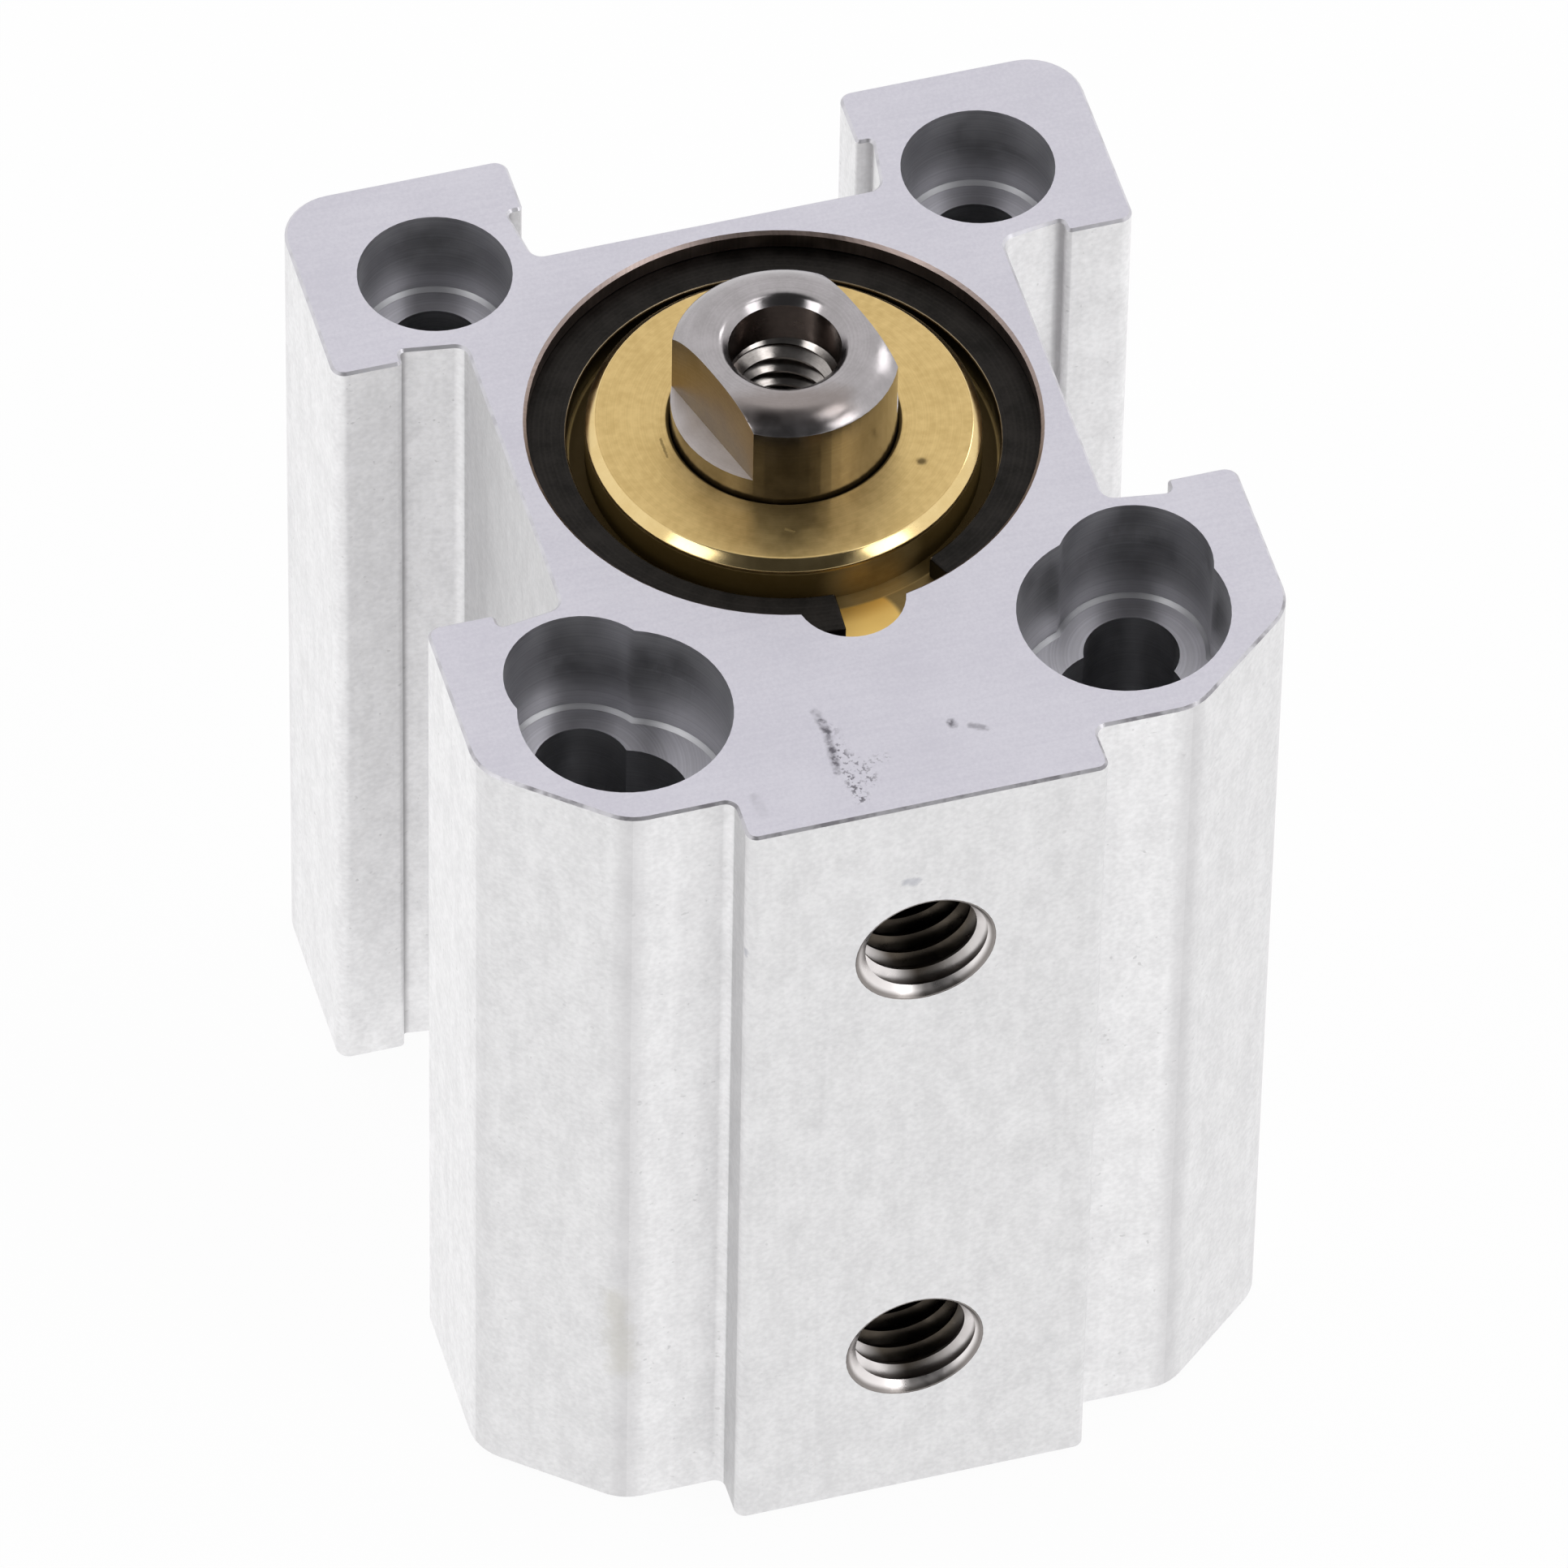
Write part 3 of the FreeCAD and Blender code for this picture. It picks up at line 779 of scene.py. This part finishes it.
turnedPieces = {                    # those with no finish here have several
    "bearingCollar": {"node": "rod_cover", "round": 0.05},
    "rodEnd": {"node": "piston_rod", "round": 0.04},
    "frontSpring": {"node": "front_retaining_ring", "round": 0.09},
    "rearSpring": {"node": "rear_retaining_ring", "finish": "blackRing", "round": 0.08},
    "rearPlug": {"node": "rear_cover", "finish": "turnedAluminium", "round": 0.08},
    "collarSealRing": {"node": "rod_cover_o_ring", "finish": "nitrileRubber", "round": 0.34},
    "plugSealRing": {"node": "rear_cover_o_ring", "finish": "nitrileRubber", "round": 0.34},
    "studSealRing": {"node": "rod_o_ring", "finish": "nitrileRubber", "round": 0.34},
    "rodLipSeal": {"node": "rod_seal", "finish": "nitrileRubber", "round": 0.12},
    "pistonLipSeal": {"node": "piston_seal", "finish": "nitrileRubber", "round": 0.12},
    "frontCushion": {"node": "front_bumper", "finish": "bumperRubber", "round": 0.15},
    "rearCushion": {"node": "rear_bumper", "finish": "bumperRubber", "round": 0.15},
    "sealWasher": {"node": "rod_seal_retainer", "finish": "zincPlated", "round": 0.06},
    "studWasher": {"node": "piston_washer", "finish": "zincPlated", "round": 0.06},
    "studNut": {"node": "piston_nut", "finish": "zincPlated", "round": 0.12},
    "frontPistonHalf": {"node": "piston_front", "finish": "pistonAlloy", "round": 0.10},
    "rearPistonHalf": {"node": "piston_rear", "finish": "pistonAlloy", "round": 0.10},
    "fieldMagnet": {"node": "magnet_ring", "finish": "bondedMagnet", "round": 0.10},
    "slideBand": {"node": "guide_ring", "finish": "guidePlastic", "round": 0.08},
}


softEdges = {"angle": math.radians(30.0), "segments": 4}


def outerCorners(mesh):             # sharp edges that stand proud
    sides = [[] for edge in mesh.edges]
    for face in mesh.polygons:
        for index in face.loop_indices:
            sides[mesh.loops[index].edge_index].append((face, mesh.loops[index].vertex_index))
    corners = []
    for edge in mesh.edges:
        (first, end), (second, start) = sides[edge.index]
        run = mesh.vertices[end].co - mesh.vertices[start].co
        sharp = first.normal.dot(second.normal) < math.cos(softEdges["angle"])
        if sharp and second.normal.cross(run).dot(first.normal) < 0:
            corners.append(edge.index)
    return corners


def softenEdges(piece, width):
    weights = piece.data.attributes.new("bevel_weight_edge", "FLOAT", "EDGE")
    for index in outerCorners(piece.data):
        weights.data[index].value = 1.0
    bevel = piece.modifiers.new("softEdges", "BEVEL")
    bevel.width = width * mm
    bevel.segments = softEdges["segments"]
    bevel.limit_method = "WEIGHT"
    bpy.ops.object.modifier_apply(modifier=bevel.name)


def trim(piece, operation):         # the active object is the cutter
    cutter = bpy.context.object
    pick(piece)
    cut = piece.modifiers.new("trim", "BOOLEAN")
    cut.operation = operation
    cut.object = cutter
    bpy.ops.object.modifier_apply(modifier=cut.name)
    bpy.data.objects.remove(cutter)


def selectEdges(piece, wanted):     # leaves edit mode on, with the edges whose both ends are wanted
    pick(piece)
    bpy.ops.object.mode_set(mode="EDIT")
    bpy.ops.mesh.select_mode(type="EDGE")
    bpy.ops.mesh.select_all(action="DESELECT")
    bpy.ops.object.mode_set(mode="OBJECT")
    for edge in piece.data.edges:
        edge.select = all(wanted(piece.data.vertices[index].co / mm) for index in edge.vertices)
    bpy.ops.object.mode_set(mode="EDIT")


tipSettings = {
    "radius": 4.08,
    "foot": -2.0,
    "top": 41.152,
    "steps": 128,
    "face": 41.14,                  # what lies above belongs to the end face
    "round": 1.10,
    "roundSegments": 12,
    "bulge": 0.36,
    "shoulder": 39.952,             # what lies above is squashed
    "squash": 0.73,
    "rim": (2.25, 2.45),
    "rimRound": 0.18,
    "rimSegments": 5,
}


def roundTip(rod):                  # the end of the rod is turned to a soft shoulder
    s = tipSettings
    bpy.ops.object.select_all(action="DESELECT")
    bpy.ops.mesh.primitive_cylinder_add(vertices=s["steps"], radius=s["radius"] * mm,
                                        depth=(s["top"] - s["foot"]) * mm,
                                        location=(0, 0, (s["top"] + s["foot"]) / 2 * mm))
    bpy.ops.object.transform_apply(location=True, rotation=True, scale=True)
    blank = bpy.context.object
    selectEdges(blank, lambda end: end.z > s["face"])
    bpy.ops.mesh.bevel(offset=s["round"] * mm, segments=s["roundSegments"], profile=s["bulge"], affect="EDGES")
    bpy.ops.mesh.select_mode(type="VERT")
    bpy.ops.mesh.select_all(action="DESELECT")
    bpy.ops.object.mode_set(mode="OBJECT")
    for vertex in blank.data.vertices:
        vertex.select = vertex.co.z > s["shoulder"] * mm
    bpy.ops.object.mode_set(mode="EDIT")
    bpy.ops.transform.resize(value=(1, 1, s["squash"]), center_override=(0, 0, s["top"] * mm))
    bpy.ops.object.mode_set(mode="OBJECT")
    trim(rod, "INTERSECT")
    selectEdges(rod, lambda end: end.z > s["face"] and s["rim"][0] < end.xy.length < s["rim"][1])
    bpy.ops.mesh.bevel(offset=s["rimRound"] * mm, segments=s["rimSegments"], affect="EDGES")
    bpy.ops.object.mode_set(mode="OBJECT")


rodFaces = {
    "flatTurn": 16.9,
    "square": 0.999,                # how far a normal leans on flats, ledges and walls
    "level": 0.99,
    "upright": 0.2,
    "ledge": (38.0, 38.2),
    "boreRadius": 2.36,
    "bore": (30.0, 40.78),
    "wallRadius": 3.9,
    "finishes": ["groundSteel", "rodWall", "milledFlatBrassReflection", "milledLedge", "drilledSteel"],
}


def rodFinishOf(face):
    s = rodFaces
    x, y, z = face.center / mm
    normal = face.normal
    turn = math.radians(s["flatTurn"])
    across = normal.x * math.cos(turn) + normal.y * math.sin(turn)
    if abs(across) > s["square"] and z > s["ledge"][0]:
        return "milledFlatBrassReflection"
    if normal.z > s["level"] and s["ledge"][0] < z < s["ledge"][1]:
        return "milledLedge"
    facesIn = normal.x * x + normal.y * y < 0
    inBore = math.hypot(x, y) < s["boreRadius"] and s["bore"][0] < z < s["bore"][1]
    if inBore and facesIn:
        return "drilledSteel"
    onWall = math.hypot(x, y) > s["wallRadius"] and abs(normal.z) < s["upright"]
    return "rodWall" if onWall else "groundSteel"


collarFaces = {
    "radius": (6.6, 7.02),
    "low": 36.7,
    "slope": (0.3, 0.95),
    "finishes": ["brass", "polishedBrass"],
}
springFaces = {"inner": 7.74, "slope": (0.15, 0.97), "finishes": ["blackRing", "wornEdgeBrassReflection"]}


def collarFinishOf(face):
    s = collarFaces
    x, y, z = face.center / mm
    onRim = s["radius"][0] < math.hypot(x, y) < s["radius"][1] and z > s["low"]
    return "polishedBrass" if onRim and s["slope"][0] < face.normal.z < s["slope"][1] else "brass"


def springFinishOf(face):
    s = springFaces
    x, y, z = face.center / mm
    onEdge = math.hypot(x, y) < s["inner"] and s["slope"][0] < face.normal.z < s["slope"][1]
    return "wornEdgeBrassReflection" if onEdge else "blackRing"


paintedPieces = {
    "rodEnd": (rodFaces["finishes"], rodFinishOf),
    "bearingCollar": (collarFaces["finishes"], collarFinishOf),
    "frontSpring": (springFaces["finishes"], springFinishOf),
}


def dressTurned():
    for name, s in turnedPieces.items():
        piece = cleanCopy(s["node"], name)
        if name == "rodEnd":
            roundTip(piece)
        softenEdges(piece, s["round"])
        if name in paintedPieces:
            paintFaces(piece, *paintedPieces[name])
        else:
            piece.data.materials.append(finishes[s["finish"]])
        smoothSkin(piece)
        seat(piece, s["node"])


dressTurned()


portThread = {"pitch": 0.8, "root": 2.5, "crest": 2.07, "length": 5.2, "lead": 0.0, "start": 0.01,
              "turn": -90, "node": "cylinder_body", "finish": "tappedAlloy"}
threadSettings = {
    "upperPortThread": {**portThread, "mouth": (0, -18.55, 29.3)},
    "lowerPortThread": {**portThread, "mouth": (0, -18.55, 7.7)},
    "rodThread": {"pitch": 0.7, "root": 2.0, "crest": 1.62, "length": 7.4, "lead": 2.0, "start": 0.35,
                  "turn": 180, "node": "piston_rod", "finish": "cutThread", "mouth": (0, 0, 41.15)},
}
threadShape = {"sunk": 0.03, "crestShare": 0.125, "rootShare": 0.86, "steps": 72, "conePast": 2.0}


def sweepRidge(name):
    s = threadSettings[name]
    pitch, crest = s["pitch"] * mm, s["crest"] * mm
    outer = (s["root"] + threadShape["sunk"]) * mm
    bpy.ops.object.select_all(action="DESELECT")
    bpy.ops.mesh.primitive_plane_add(size=1.0, location=((outer + crest) / 2, 0, -pitch),
                                     rotation=(math.pi / 2, 0, 0))
    ridge = bpy.context.object
    ridge.name = name
    ridge.scale = (outer - crest, pitch * threadShape["rootShare"], 1.0)
    bpy.ops.object.transform_apply(location=True, rotation=True, scale=True)
    bpy.ops.object.mode_set(mode="EDIT")
    bpy.ops.mesh.select_mode(type="VERT")
    bpy.ops.mesh.select_all(action="SELECT")
    bpy.ops.mesh.delete(type="ONLY_FACE")
    bpy.ops.object.mode_set(mode="OBJECT")
    for vertex in ridge.data.vertices:
        vertex.select = vertex.co.x < (outer + crest) / 2
    bpy.ops.object.mode_set(mode="EDIT")
    narrow = threadShape["crestShare"] / threadShape["rootShare"]
    bpy.ops.transform.resize(value=(1, 1, narrow), center_override=(0, 0, -pitch))
    bpy.ops.object.mode_set(mode="OBJECT")
    screw = ridge.modifiers.new("helix", "SCREW")
    screw.axis = "Z"
    screw.angle = 2 * math.pi
    screw.screw_offset = pitch
    screw.iterations = math.ceil(s["length"] / s["pitch"]) + 1
    screw.steps = threadShape["steps"]
    screw.render_steps = threadShape["steps"]
    bpy.ops.object.modifier_apply(modifier=screw.name)
    bpy.ops.object.mode_set(mode="EDIT")
    bpy.ops.mesh.select_all(action="SELECT")
    bpy.ops.mesh.remove_doubles(threshold=meshSettings["merge"])
    bpy.ops.mesh.fill_holes(sides=0)
    bpy.ops.mesh.normals_make_consistent(inside=False)
    bpy.ops.object.mode_set(mode="OBJECT")
    return ridge


def openMouth(ridge, name):         # a lead-in cone trims the first turn as a countersink does
    s = threadSettings[name]
    past = threadShape["conePast"]
    reach = s["root"] + s["lead"] + past
    sides = threadShape["steps"]
    between = (0, 0, math.pi / sides)       # the cutters' corners fall between the helix's steps
    bpy.ops.mesh.primitive_cone_add(vertices=sides, radius1=reach * mm, radius2=0, depth=reach * mm,
                                    location=(0, 0, (reach / 2 - past) * mm), rotation=between)
    trim(ridge, "DIFFERENCE")
    bpy.ops.mesh.primitive_cylinder_add(vertices=sides, radius=(s["root"] + past) * mm,
                                        depth=(s["length"] - s["start"]) * mm,
                                        location=(0, 0, (s["length"] + s["start"]) / 2 * mm),
                                        rotation=between)
    trim(ridge, "INTERSECT")


def seatThread(name):
    s = threadSettings[name]
    ridge = sweepRidge(name)
    openMouth(ridge, name)
    ridge.rotation_euler = (math.radians(s["turn"]), 0, 0)
    ridge.location = Vector(s["mouth"]) * mm
    pick(ridge)
    bpy.ops.object.transform_apply(location=True, rotation=True, scale=True)
    bpy.ops.object.shade_smooth_by_angle(angle=meshSettings["crease"])
    ridge.data.materials.append(finishes[s["finish"]])
    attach(ridge, bodyOf[s["node"]])
    print(name, len(ridge.data.polygons), "faces")


for threadName in threadSettings:
    seatThread(threadName)
